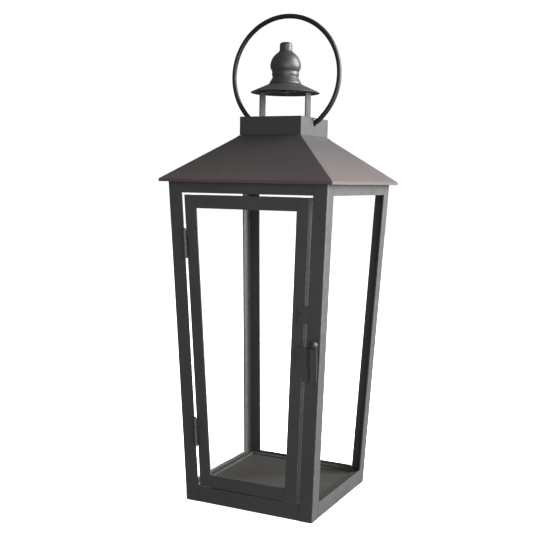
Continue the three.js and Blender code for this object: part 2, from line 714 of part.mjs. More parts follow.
addPosts();
addRails();
addFloorPan();
addRoof();
addCollar();
addCapBracket();
addCap();
addFinial();
addHandle();
addDoor();
addHinges();
addTurnBar();
addTabs();

export default lantern;
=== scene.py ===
"""Tall tapered candle lantern in dark powder-coated sheet steel.

The lantern stands on z = 0, centred on the Z axis, with its door on the -Y side. Every piece is
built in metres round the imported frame, one class for each sub-assembly, and each finish is a small
frozen class.
"""

import logging
import math
from dataclasses import dataclass
from enum import Enum
from typing import Callable, Optional, Sequence

import bmesh
import bpy
from mathutils import Matrix, Vector, noise


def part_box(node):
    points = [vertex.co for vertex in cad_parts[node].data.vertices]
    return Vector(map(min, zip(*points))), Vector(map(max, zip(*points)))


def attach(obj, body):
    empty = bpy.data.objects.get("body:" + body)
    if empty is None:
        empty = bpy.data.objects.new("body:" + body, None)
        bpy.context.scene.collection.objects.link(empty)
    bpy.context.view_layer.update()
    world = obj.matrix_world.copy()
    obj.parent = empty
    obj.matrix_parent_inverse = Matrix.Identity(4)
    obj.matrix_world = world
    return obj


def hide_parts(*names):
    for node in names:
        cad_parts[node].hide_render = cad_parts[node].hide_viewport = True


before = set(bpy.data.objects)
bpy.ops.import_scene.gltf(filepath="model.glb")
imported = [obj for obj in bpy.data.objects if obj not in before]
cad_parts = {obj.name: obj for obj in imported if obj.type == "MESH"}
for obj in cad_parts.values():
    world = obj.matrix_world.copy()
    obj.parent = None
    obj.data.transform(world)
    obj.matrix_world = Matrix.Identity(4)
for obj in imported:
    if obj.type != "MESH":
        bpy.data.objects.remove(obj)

LOG = logging.getLogger("lantern")
MM = 0.001
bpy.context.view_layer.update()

Point = tuple[float, float]
Solid = bmesh.types.BMesh

# The standard curve of sRGB: its straight part, and where the rest starts.
SRGB_KNEE = 0.04045
SRGB_SLOPE = 12.92
SRGB_OFFSET = 0.055
SRGB_SCALE = 1.055
SRGB_GAMMA = 2.4

# The part of a noise's range, from 0 to 1, over which each pattern fades in.
NOISE_ROUGHNESS = 0.55
CLOUD_RANGE = (0.32, 0.68)
GRAIN_RANGE = (0.6, 0.78)
# The edges go paler in these patches, as rubbed wear and as a painted highlight.
RUB_AND_HIGHLIGHT_RANGE = (0.4, 0.7)
SHEEN_RANGE = (0.3, 0.7)

# Distances within which two points count as one, in metres.
MERGE_DISTANCE = 0.00001
DRAWN_DISTANCE = 0.001 * MM
CAD_DISTANCE = 0.01 * MM

# Angles past which an edge counts as sharp, in degrees.
SHARP_ANGLE = 30.0
SHEET_ANGLE = 40.0
CUT_ANGLE = 50.0
WIRE_ANGLE = 60.0
FLAT_ANGLE = 1.0

# Facets across a rounded edge.
CUT_FACETS = 2
FOLD_FACETS = 3
BEND_FACETS = 4

# The height at which the noise that drums a sheet is read, in metres.
DRUM_SLICE = 0.35


class Body(str, Enum):
    """The bodies of the lantern that move by themselves."""

    LANTERN = "lantern_body"
    DOOR = "door"
    TURN_BAR = "turn_bar"
    RING = "ring_handle"


class Slot(str, Enum):
    """The record's material slots."""

    FRAME = "frame_paint"
    ROOF = "roof_paint"
    FLOOR = "floor_paint"
    FINIAL = "finial_paint"
    HANDLE = "handle_paint"
    FASTENER = "fastener_steel"


# ---- Finishes ----------------------------------------------------------------------------------------


def linear(code: str) -> tuple[float, float, float, float]:
    """Turns a colour's sRGB hex code to linear.

    Args:
        code: six hex digits after a hash sign.

    Returns:
        Linear red, green and blue, and an alpha of 1.
    """
    shares = [int(code[i : i + 2], 16) / 255 for i in (1, 3, 5)]
    red, green, blue = [
        s / SRGB_SLOPE if s <= SRGB_KNEE else ((s + SRGB_OFFSET) / SRGB_SCALE) ** SRGB_GAMMA
        for s in shares
    ]
    return red, green, blue, 1.0


def per_metre(size_mm: float) -> float:
    """Returns a noise scale whose features are about size_mm across."""
    return 1.0 / (size_mm * MM)


def add_node(
    tree: bpy.types.NodeTree,
    kind: str,
    settings: Optional[dict[str, object]] = None,
    links: Optional[dict[str, bpy.types.NodeSocket]] = None,
) -> bpy.types.Node:
    """Adds a node with its settings and links.

    Args:
        tree: the node tree.
        kind: the node's type name.
        settings: values by name, a lower-case name for a property and any other for a socket.
        links: the socket that feeds each input, by the input's name.

    Returns:
        The new node.
    """
    made = tree.nodes.new(kind)
    for name, value in (settings or {}).items():
        if name[0].islower():
            setattr(made, name, value)
        else:
            next(s for s in made.inputs if s.enabled and s.name == name).default_value = value
    for name, source in (links or {}).items():
        tree.links.new(source, next(s for s in made.inputs if s.enabled and s.name == name))
    return made


def out(node: bpy.types.Node, name: str) -> bpy.types.NodeSocket:
    """Returns a node's output in use by that name."""
    return next(s for s in node.outputs if s.enabled and s.name == name)


@dataclass(frozen=True)
class PowderCoat:
    """Electrostatic powder coat baked on steel: an even, nearly matt skin with a very fine peel."""

    name: str
    slot: Slot
    colour: str
    cloud: str
    # the paler colour of grains and rubbed edges; on the edges it also paints a highlight
    rub_and_highlight: str
    roughness: float = 0.5
    roughness_swing: float = 0.06
    cloud_mm: float = 38.0
    peel_mm: float = 1.7  # real peel is about 0.8 mm, drawn coarser so that it shows
    peel_depth_mm: float = 0.02
    grit_mm: float = 0.9
    grit_share: float = 0.14
    specular: float = 0.5
    crown: Optional[str] = None  # the colour towards the top, where the coat is drawn darker and greyer
    crown_mm: tuple[float, float] = (405.0, 455.0)
    patch_mm: float = 7.0  # size of the patches in which an edge is rubbed and carries a painted highlight
    # how far the edges go to the paler colour, as rubbed wear and as a painted highlight
    rub_and_highlight_share: float = 0.5
    sheen_mm: float = 11.0
    peel_strength: float = 0.6
    ior: float = 1.5

    def material(self) -> bpy.types.Material:
        """Returns the finish's material, made on first use."""
        found = bpy.data.materials.get(self.name)
        return found or self._made()

    def _made(self) -> bpy.types.Material:
        """Builds the node tree."""
        made = bpy.data.materials.new(self.name)
        made.use_nodes = True
        tree = made.node_tree
        tree.nodes.clear()
        place = out(add_node(tree, "ShaderNodeTexCoord"), "Object")
        where = out(add_node(tree, "ShaderNodeMapping", None, {"Vector": place}), "Vector")
        patterns = {
            "clouds": (self.cloud_mm, 3.0),
            "grains": (self.grit_mm, 1.0),
            "patches": (self.patch_mm, 4.0),
            "sheen": (self.sheen_mm, 3.0),
            "peel": (self.peel_mm, 2.0),
        }
        noises: dict[str, bpy.types.NodeSocket] = {}
        for pattern, (size_mm, detail) in patterns.items():
            settings = {
                "Scale": per_metre(size_mm),
                "Detail": detail,
                "Roughness": NOISE_ROUGHNESS,
            }
            made_noise = add_node(tree, "ShaderNodeTexNoise", settings, {"Vector": where})
            noises[pattern] = out(made_noise, "Fac")

        # The powder's thickness drifts over a few centimetres, which the eye reads as clouding.
        clouds = add_node(
            tree,
            "ShaderNodeMapRange",
            {"From Min": CLOUD_RANGE[0], "From Max": CLOUD_RANGE[1]},
            {"Value": noises["clouds"]},
        )
        base = add_node(
            tree,
            "ShaderNodeMix",
            {"data_type": "RGBA", "A": linear(self.colour), "B": linear(self.cloud)},
            {"Factor": out(clouds, "Result")},
        )
        skin_colour = out(base, "Result")
        if self.crown:
            # The coat is drawn lighter and warmer towards the eave, and darker and greyer higher up.
            height = add_node(tree, "ShaderNodeSeparateXYZ", None, {"Vector": where})
            low, high = self.crown_mm
            share = add_node(
                tree,
                "ShaderNodeMapRange",
                {"From Min": low * MM, "From Max": high * MM},
                {"Value": out(height, "Z")},
            )
            crowned = add_node(
                tree,
                "ShaderNodeMix",
                {"data_type": "RGBA", "B": linear(self.crown)},
                {"Factor": out(share, "Result"), "A": skin_colour},
            )
            skin_colour = out(crowned, "Result")
        # Single grains of powder that flowed less, paler than the rest.
        grains = add_node(
            tree,
            "ShaderNodeMapRange",
            {"From Min": GRAIN_RANGE[0], "From Max": GRAIN_RANGE[1], "To Max": self.grit_share},
            {"Value": noises["grains"]},
        )
        grainy = add_node(
            tree,
            "ShaderNodeMix",
            {"data_type": "RGBA", "B": linear(self.rub_and_highlight)},
            {"Factor": out(grains, "Result"), "A": skin_colour},
        )
        # The coat is thinner and a little rubbed on the bent and cut edges, and the paler edges also
        # paint a highlight along them.
        edge = out(add_node(tree, "ShaderNodeAttribute", {"attribute_name": "edge"}), "Fac")
        broken = add_node(
            tree,
            "ShaderNodeMapRange",
            {"From Min": RUB_AND_HIGHLIGHT_RANGE[0], "From Max": RUB_AND_HIGHLIGHT_RANGE[1], "To Max": self.rub_and_highlight_share},
            {"Value": noises["patches"]},
        )
        rubbed_and_highlit = add_node(tree, "ShaderNodeMath", {"operation": "MULTIPLY"}, {"Value": edge})
        # Both of its inputs have the same name, so the second is linked by its place.
        tree.links.new(out(broken, "Result"), rubbed_and_highlit.inputs[1])
        colour = add_node(
            tree,
            "ShaderNodeMix",
            {"data_type": "RGBA", "B": linear(self.rub_and_highlight)},
            {"Factor": out(rubbed_and_highlit, "Value"), "A": out(grainy, "Result")},
        )
        sheen = add_node(
            tree,
            "ShaderNodeMapRange",
            {
                "From Min": SHEEN_RANGE[0],
                "From Max": SHEEN_RANGE[1],
                "To Min": self.roughness - self.roughness_swing,
                "To Max": self.roughness + self.roughness_swing,
            },
            {"Value": noises["sheen"]},
        )
        peel = add_node(
            tree,
            "ShaderNodeBump",
            {"Strength": self.peel_strength, "Distance": self.peel_depth_mm * MM},
            {"Height": noises["peel"]},
        )
        skin = add_node(
            tree,
            "ShaderNodeBsdfPrincipled",
            {"Metallic": 0.0, "IOR": self.ior, "Specular IOR Level": self.specular},
            {
                "Base Color": out(colour, "Result"),
                "Roughness": out(sheen, "Result"),
                "Normal": out(peel, "Normal"),
            },
        )
        add_node(tree, "ShaderNodeOutputMaterial", None, {"Surface": out(skin, "BSDF")})
        return made


FRAME_COAT = PowderCoat("charcoal powder coat", Slot.FRAME, "#2b2a2b", "#302e2f", "#57534f")
ROOF_COAT = PowderCoat(
    "charcoal powder coat on the roof",
    Slot.ROOF,
    "#3a3435",
    "#403835",
    "#5c5650",
    roughness=0.62,
    cloud_mm=70.0,
    specular=0.35,
    crown="#2b2a2c",
)
COLLAR_COAT = PowderCoat(
    "charcoal powder coat on the collar",
    Slot.ROOF,
    "#292829",
    "#2d2b2b",
    "#5c5650",
    roughness=0.58,
    cloud_mm=45.0,
    specular=0.35,
)
FLOOR_COAT = PowderCoat(
    "charcoal powder coat on the floor",
    Slot.FLOOR,
    "#272624",
    "#2d2c29",
    "#5c5953",
    roughness=0.7,
    specular=0.25,
)
FINIAL_COAT = PowderCoat(
    "satin black enamel",
    Slot.FINIAL,
    "#262526",
    "#2a2829",
    "#4c4845",
    roughness=0.47,
    roughness_swing=0.04,
    peel_depth_mm=0.012,
    specular=0.4,
)
HANDLE_COAT = PowderCoat(
    "satin black enamel on wire",
    Slot.HANDLE,
    "#111011",
    "#141313",
    "#3a3735",
    roughness=0.4,
    roughness_swing=0.04,
    cloud_mm=24.0,
    peel_depth_mm=0.008,
    grit_share=0.04,
    specular=0.3,
)
FASTENER_COAT = PowderCoat(
    "black oxide steel",
    Slot.FASTENER,
    "#232223",
    "#282625",
    "#4e4a46",
    roughness=0.42,
    cloud_mm=5.0,
    specular=0.35,
)


# ---- Shaping -----------------------------------------------------------------------------------------


def started(outline: Sequence[Point], place: Callable[[float, float], Vector]) -> Solid:
    """Starts a solid from one flat face.

    Args:
        outline: the face's corners.
        place: turns a corner to its point in space.

    Returns:
        A solid that holds the face.
    """
    solid = bmesh.new()
    solid.faces.new([solid.verts.new(place(a, b)) for a, b in outline])
    return solid


def pulled(solid: Solid, step: Vector) -> Solid:
    """Extrudes every face of a solid, so that one face becomes a prism.

    Args:
        solid: the solid.
        step: how far, and which way.

    Returns:
        The same solid.
    """
    grown = bmesh.ops.extrude_face_region(solid, geom=solid.faces[:])
    moved = [item for item in grown["geom"] if isinstance(item, bmesh.types.BMVert)]
    bmesh.ops.translate(solid, verts=moved, vec=step)
    return solid


def turned(profile: Sequence[Point], steps: int, start: float = 0.0) -> Solid:
    """Spins a profile of radius and height, in millimetres, a full turn about the Z axis.

    Args:
        profile: a closed outline, or an open one that ends on the axis at both ends.
        steps: the number of facets round.
        start: the angle of the first facet, in radians.

    Returns:
        The turned solid, with its faces pointing out.
    """
    solid = bmesh.new()
    spoke = Vector((math.cos(start), math.sin(start), 0.0))
    line = [solid.verts.new((spoke * r + Vector((0, 0, z))) * MM) for r, z in profile]
    edges = [solid.edges.new(pair) for pair in zip(line, line[1:])]
    if min(profile[0][0], profile[-1][0]) > 0:
        edges.append(solid.edges.new((line[-1], line[0])))
    bmesh.ops.spin(
        solid,
        geom=line + edges,
        cent=(0, 0, 0),
        axis=(0, 0, 1),
        angle=2 * math.pi,
        steps=steps,
        use_merge=True,
    )
    return sealed(solid)


def sealed(solid: Solid) -> Solid:
    """Merges doubled vertices and turns the faces outwards.

    Args:
        solid: the solid.

    Returns:
        The same solid.
    """
    bmesh.ops.remove_doubles(solid, verts=solid.verts[:], dist=MERGE_DISTANCE)
    bmesh.ops.recalc_face_normals(solid, faces=solid.faces[:])
    return solid


def softened(
    solid: Solid, radius_mm: float, segments: int, edges: list[bmesh.types.BMEdge]
) -> Solid:
    """Rounds some edges, and marks the rounded faces for the paler coat of rubbed wear and painted edge
    highlight.

    Args:
        solid: the solid.
        radius_mm: how far each rounding reaches from its edge.
        segments: facets across each rounding.
        edges: the edges to round.

    Returns:
        The same solid.
    """
    rub_and_highlight = solid.faces.layers.float.get("edge") or solid.faces.layers.float.new("edge")
    keys = {edge.index for edge in edges}
    solid.edges.ensure_lookup_table()
    rounded = bmesh.ops.bevel(
        solid,
        geom=[edge for edge in solid.edges if edge.index in keys],
        offset=radius_mm * MM,
        offset_type="OFFSET",
        segments=segments,
        profile=0.5,
        affect="EDGES",
        material=-1,
        clamp_overlap=True,
    )
    for face in rounded["faces"]:
        face[rub_and_highlight] = 1.0
    solid.edges.index_update()
    return solid


def sharp_edges(solid: Solid, degrees: float = SHARP_ANGLE) -> list[bmesh.types.BMEdge]:
    """Finds the edges whose two faces meet at more than an angle.

    Args:
        solid: the solid.
        degrees: the angle.

    Returns:
        Those edges, with their indices up to date.
    """
    solid.edges.index_update()
    limit = math.radians(degrees)
    return [e for e in solid.edges if len(e.link_faces) == 2 and e.calc_face_angle() > limit]


def leaning(solid: Solid, matrix: Matrix) -> Solid:
    """Carries a solid by a matrix and turns its faces outwards again."""
    bmesh.ops.transform(solid, matrix=matrix, verts=solid.verts[:])
    return sealed(solid)


def cad_copy(node: str) -> Solid:
    """Copies a CAD node, with its doubles merged and its flat faces whole again.

    Args:
        node: the node's name.

    Returns:
        The copy.
    """
    solid = bmesh.new()
    solid.from_mesh(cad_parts[node].data)
    bmesh.ops.remove_doubles(solid, verts=solid.verts[:], dist=MERGE_DISTANCE)
    bmesh.ops.dissolve_limit(
        solid,
        angle_limit=math.radians(FLAT_ANGLE),
        verts=solid.verts[:],
        edges=solid.edges[:],
        delimit={"NORMAL"},
    )
    return solid


def smooth_line(points: Sequence[Point], steps: int) -> list[Point]:
    """Runs a smooth curve through points.

    Args:
        points: what the curve passes through.
        steps: how many pieces each span is cut into.

    Returns:
        The points of the curve.
    """
    line: list[Point] = []
    for i in range(len(points) - 1):
        before = Vector(points[max(i - 1, 0)])
        here = Vector(points[i])
        after = Vector(points[i + 1])
        beyond = Vector(points[min(i + 2, len(points) - 1)])
        for k in range(steps):
            t = k / steps
            # The Catmull-Rom formula, whose factors are its own.
            bend = here * 2 + (after - before) * t
            bend += (before * 2 - here * 5 + after * 4 - beyond) * t**2
            bend += (here * 3 - before - after * 3 + beyond) * t**3
            line.append((bend.x / 2, bend.y / 2))
    line.append(tuple(points[-1]))
    return line


def finished(
    solid: Solid,
    name: str,
    coat: PowderCoat,
    body: Body,
    nodes: Sequence[str] = (),
    crease: float = 38.0,
) -> bpy.types.Object:
    """Makes a piece from a solid, dresses it and fixes it to its body.

    Args:
        solid: the shape, in the lantern's frame.
        name: the piece's name.
        coat: its finish.
        body: the body it moves with.
        nodes: the CAD nodes that it stands for.
        crease: the angle past which an edge stays sharp, in degrees.

    Returns:
        The piece.
    """
    mesh = bpy.data.meshes.new(name)
    solid.to_mesh(mesh)
    solid.free()
    mesh.shade_smooth()
    mesh.set_sharp_from_angle(angle=math.radians(crease))
    piece = bpy.data.objects.new(name, mesh)
    bpy.context.scene.collection.objects.link(piece)
    flats = piece.modifiers.new("flat faces stay flat", "WEIGHTED_NORMAL")
    flats.keep_sharp = True
    mesh.materials.append(coat.material())
    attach(piece, body.value)
    if nodes:
        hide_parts(*nodes)
    LOG.info("%s: %d faces, %s, on %s", name, len(mesh.polygons), coat.name, body.value)
    return piece


@dataclass(frozen=True)
class Taper:
    """The tapered body that the posts, rails and door follow. Millimetres."""

    base_half: float = 86.6
    top_half: float = 105.0
    eave: float = 400.0

    @property
    def lean(self) -> float:
        """How far each side runs out for each millimetre up."""
        return (self.top_half - self.base_half) / self.eave

    def half_at(self, height: float) -> float:
        """Returns half the outside width at a height."""
        return self.base_half + self.lean * height

    def corner(self, side: int, front: int) -> Matrix:
        """Returns the matrix for a solid drawn in from a corner's two faces, upright, in metres.

        Args:
            side: the sign of the corner's X.
            front: the sign of its Y.

        Returns:
            The matrix.
        """
        base = self.base_half * MM
        return Matrix(
            (
                (-side, 0, side * self.lean, side * base),
                (0, -front, front * self.lean, front * base),
                (0, 0, 1, 0),
                (0, 0, 0, 1),
            )
        )


TAPER = Taper()


# ---- Frame -------------------------------------------------------------------------------------------


@dataclass(frozen=True)
class AngleIron:
    """Sheet bent to an L, with a rounded bend and cut edges. Millimetres."""

    face: float
    depth: float
    sheet: float = 2.0
    bend: float = 1.1
    cut: float = 0.22
    inset: float = 0.0

    def upright(self, low: float, high: float, side: int, front: int) -> Solid:
        """Builds a length that runs up a corner of the body.

        Args:
            low: height of its lower end.
            high: height of its upper end.
            side: the sign of the corner's X.
            front: the sign of its Y.

        Returns:
            The solid in the lantern's frame.
        """
        a, t = self.inset, self.sheet
        outline = [
            (a, 0.0),
            (a + self.face, 0.0),
            (a + self.face, t),
            (a + t, t),
            (a + t, self.depth),
            (a, self.depth),
        ]
        solid = started(outline, lambda x, y: Vector((x, y, low)) * MM)
        sealed(pulled(solid, Vector((0, 0, (high - low) * MM))))
        outer = [e for e in sharp_edges(solid) if self._at(e, a, 0.0)]
        inner = [e for e in sharp_edges(solid) if self._at(e, a + t, t)]
        softened(solid, self.bend, BEND_FACETS, outer + inner)
        softened(solid, self.cut, CUT_FACETS, sharp_edges(solid, CUT_ANGLE))
        return leaning(solid, TAPER.corner(side, front))

    @staticmethod
    def _at(edge: bmesh.types.BMEdge, x: float, y: float) -> bool:
        """Returns True for the upright edge at a corner of the outline, in millimetres."""
        corner = Vector((x, y)) * MM
        return all(
            abs(v.co.x - corner.x) < DRAWN_DISTANCE and abs(v.co.y - corner.y) < DRAWN_DISTANCE
            for v in edge.verts
        )


@dataclass(frozen=True)
class FlatRail:
    """An L that runs along one face of the body between two uprights. Millimetres."""

    low: float
    high: float
    flange_low: float
    flange_high: float
    depth: float
    end_inset: float
    sheet: float = 2.0
    cut: float = 0.22
    bend: float = 0.9

    def solid(self, quarter: int = 0) -> Solid:
        """Builds the rail.

        Args:
            quarter: how many quarter turns from the front face.

        Returns:
            The solid in the lantern's frame.
        """
        t = self.sheet
        if self.flange_low > self.low:
            outline = [
                (0.0, self.low),
                (t, self.low),
                (t, self.flange_low),
                (self.depth, self.flange_low),
                (self.depth, self.high),
                (0.0, self.high),
            ]
            bend_height = self.high
        else:
            outline = [
                (0.0, self.low),
                (self.depth, self.low),
                (self.depth, self.flange_high),
                (t, self.flange_high),
                (t, self.high),
                (0.0, self.high),
            ]
            bend_height = self.low
        # Drawn from -1 to 1, and each height is then brought to the width between the uprights.
        solid = started(outline, lambda d, z: Vector((-1.0, (-TAPER.half_at(z) + d) * MM, z * MM)))
        sealed(pulled(solid, Vector((2.0, 0, 0))))
        for vert in solid.verts:
            vert.co.x *= (TAPER.half_at(vert.co.z / MM) - self.end_inset) * MM
        folds = [e for e in sharp_edges(solid) if self._is_fold(e, bend_height)]
        softened(solid, self.bend, FOLD_FACETS, folds)
        softened(solid, self.cut, CUT_FACETS, sharp_edges(solid, CUT_ANGLE))
        return leaning(solid, Matrix.Rotation(quarter * math.pi / 2, 4, "Z"))

    @staticmethod
    def _is_fold(edge: bmesh.types.BMEdge, height: float) -> bool:
        """Returns True for the long outer edge where the flange is folded."""
        face = -TAPER.half_at(height) * MM
        return all(
            abs(v.co.z - height * MM) < CAD_DISTANCE and abs(v.co.y - face) < CAD_DISTANCE
            for v in edge.verts
        )


QUARTERS = {"front": 0, "right": 1, "back": 2, "left": 3}
CORNERS = {
    "front_left": (-1, -1),
    "front_right": (1, -1),
    "back_right": (1, 1),
    "back_left": (-1, 1),
}


@dataclass
class BodyFrame:
    """The four leaning corner posts and the rails between them. Millimetres."""

    flange: float = 17.8
    seam: float = 0.6
    rail_depth: float = 12.0
    base_rail_height: float = 20.4
    top_rail_low: float = 387.0
    sheet: float = 2.0

    def build(self) -> None:
        """Builds and dresses every post and rail."""
        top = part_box("post_front_left")[1].z / MM
        post = AngleIron(self.flange, self.flange, self.sheet)
        for corner, (side, front) in CORNERS.items():
            name = "post_" + corner
            solid = post.upright(0.0, top, side, front)
            finished(solid, name + "_iron", FRAME_COAT, Body.LANTERN, [name])
        inset = self.flange + self.seam
        base = FlatRail(0.0, self.base_rail_height, 0.0, self.sheet, self.rail_depth, inset)
        head = FlatRail(self.top_rail_low, top, top - self.sheet, top, self.rail_depth, inset)
        for side, quarter in QUARTERS.items():
            for word, rail in (("base_rail_", base), ("top_rail_", head)):
                name = word + side
                finished(rail.solid(quarter), name + "_iron", FRAME_COAT, Body.LANTERN, [name])


@dataclass
class FloorPan:
    """The pressed floor: a shallow dish with a raised rim, slightly drummed by the press."""

    drum_mm: float = 0.25
    drum_size_mm: float = 55.0
    rounding_mm: float = 0.45
    cuts: int = 14

    def build(self) -> None:
        """Builds and dresses the pan."""
        solid = cad_copy("floor_pan")
        softened(solid, self.rounding_mm, FOLD_FACETS, sharp_edges(solid))
        drummed(solid, self.drum_mm, self.drum_size_mm, self.cuts)
        finished(solid, "pressed_floor", FLOOR_COAT, Body.LANTERN, ["floor_pan"])


def drummed(solid: Solid, depth_mm: float, size_mm: float, cuts: int) -> Solid:
    """Gives thin sheet the slight waves that it keeps from the press.

    Args:
        solid: the sheet.
        depth_mm: how far the waves reach.
        size_mm: how far apart they are.
        cuts: how many cuts the long edges get.

    Returns:
        The same solid.
    """
    quads = [face for face in solid.faces if len(face.verts) == 4]
    shortest = 2 * size_mm * MM / 3  # a shorter edge is too short to show a wave
    long_edges = {e for face in quads for e in face.edges if e.calc_length() > shortest}
    bmesh.ops.subdivide_edges(solid, edges=list(long_edges), cuts=cuts, use_grid_fill=True)
    for vert in solid.verts:
        wave = noise.noise(Vector((vert.co.x, vert.co.y, DRUM_SLICE)) * per_metre(size_mm))
        vert.co.z += wave * depth_mm * MM
    return solid


# ---- Roof and what stands on it ----------------------------------------------------------------------


@dataclass
class RoofAndVent:
    """The hipped roof, the chimney collar, the cap and the strap that carries it. Millimetres."""

    hip_rounding: float = 0.8
    drum: float = 0.3
    drum_size: float = 70.0
    cuts: int = 12
    edge: float = 0.25
    cap_steps: int = 96
    cap_sheet: float = 1.0
    cap_flat: float = 20.3
    cap_hole: float = 3.3

    def build(self) -> None:
        """Builds and dresses each piece."""
        roof = cad_copy("roof")
        hips = [e for e in sharp_edges(roof) if self._is_hip(e)]
        softened(roof, self.hip_rounding, FOLD_FACETS, hips)
        softened(roof, self.edge, CUT_FACETS, sharp_edges(roof, SHEET_ANGLE))
        drummed(roof, self.drum, self.drum_size, self.cuts)
        finished(roof, "folded_roof", ROOF_COAT, Body.LANTERN, ["roof"])
        for node in ("chimney_collar", "cap_bracket"):
            solid = cad_copy(node)
            softened(solid, self.edge, CUT_FACETS, sharp_edges(solid))
            finished(solid, node + "_sheet", COLLAR_COAT, Body.LANTERN, [node])
        self._build_cap()

    @staticmethod
    def _is_hip(edge: bmesh.types.BMEdge) -> bool:
        """Tells the folds that run down the roof's four corners from its other edges.

        Args:
            edge: an edge of the roof.

        Returns:
            True for such a fold.
        """
        top, low = sorted((v.co.z for v in edge.verts), reverse=True)
        diagonal = all(abs(abs(v.co.x) - abs(v.co.y)) < CAD_DISTANCE for v in edge.verts)
        return diagonal and top - low > MM

    def _build_cap(self) -> None:
        """Spins the cap, with its thin rim turned over a little."""
        low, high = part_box("vent_cap")
        radius = high.x / MM
        rim = low.z / MM
        seat = high.z / MM
        sheet = self.cap_sheet
        flat = self.cap_flat
        # Radius and height of each point, out underneath, round the rim and back along the top.
        profile = [
            (self.cap_hole, seat - sheet),
            (flat - 1.5 * sheet, seat - sheet),
            (flat, seat - 1.25 * sheet),
            (radius - 1.6 * sheet, rim + 0.68 * sheet),
            (radius - 1.1 * sheet, rim + 0.15 * sheet),
            (radius - 0.8 * sheet, rim),
            (radius - 0.3 * sheet, rim),
            (radius, rim + 0.25 * sheet),
            (radius, rim + 0.7 * sheet),
            (radius - 0.4 * sheet, rim + 1.1 * sheet),
            (flat + 1.2 * sheet, seat - 0.55 * sheet),
            (flat - 0.4 * sheet, seat - 0.06 * sheet),
            (flat - 2 * sheet, seat),
            (self.cap_hole, seat),
        ]
        cap = turned(profile, self.cap_steps)
        finished(cap, "spun_cap", COLLAR_COAT, Body.LANTERN, ["vent_cap"])


@dataclass
class TurnedFinial:
    """The turned knob on top, its stud and the spacer that carries the cap. Millimetres."""

    steps: int = 96
    foot: float = 20.2
    groove: float = 16.1
    bead: float = 17.0
    bulb: float = 19.3
    tip: float = 7.9
    stud: float = 3.0
    stud_bite: float = 12.0
    clearance: float = 0.3
    contour_steps: int = 5
    crease: float = 50.0
    rounding: float = 0.2

    def build(self) -> None:
        """Builds and dresses the knob and the pieces that hold it."""
        low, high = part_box("finial")
        bottom = low.z / MM
        height = (high.z - low.z) / MM
        # Radius, and share of the knob's height, of each point from the foot up.
        contour = [
            (self.foot, 0.0),
            (self.foot * 0.98, 0.03),
            (self.foot * 0.92, 0.07),
            (self.foot * 0.871, 0.105),
            (self.groove * 1.037, 0.135),
            (self.groove * 1.003, 0.155),
            (self.groove * 1.02, 0.18),
            (self.bead, 0.215),
            (self.bead, 0.25),
            (self.bead * 0.988, 0.285),
            (self.bulb * 0.9, 0.31),
            (self.bulb * 0.964, 0.36),
            (self.bulb, 0.42),
            (self.bulb * 0.99, 0.48),
            (self.bulb * 0.948, 0.54),
            (self.bulb * 0.88, 0.6),
            (self.bulb * 0.782, 0.66),
            (self.bulb * 0.622, 0.72),
            (self.tip * 1.24, 0.755),
            (self.tip * 1.05, 0.79),
            (self.tip, 0.82),
            (self.tip, 0.93),
            (self.tip * 0.975, 0.95),
            (self.tip * 0.937, 0.965),
            (self.tip * 0.8, 0.985),
            (self.tip * 0.557, 1.0),
        ]
        points = [(r, bottom + share * height) for r, share in contour]
        outline = smooth_line(points, self.contour_steps)
        bore = self.stud + self.clearance
        deep = bottom + self.stud_bite + self.clearance
        profile = [(0.0, deep), (bore, deep), (bore, bottom), *outline, (0.0, bottom + height)]
        knob = turned(profile, self.steps)
        finished(knob, "turned_knob", FINIAL_COAT, Body.LANTERN, ["finial"], crease=self.crease)
        for node in ("finial_stud", "cap_spacer"):
            solid = cad_copy(node)
            softened(solid, self.rounding, CUT_FACETS, sharp_edges(solid, CUT_ANGLE))
            finished(solid, node + "_steel", FASTENER_COAT, Body.LANTERN, [node])


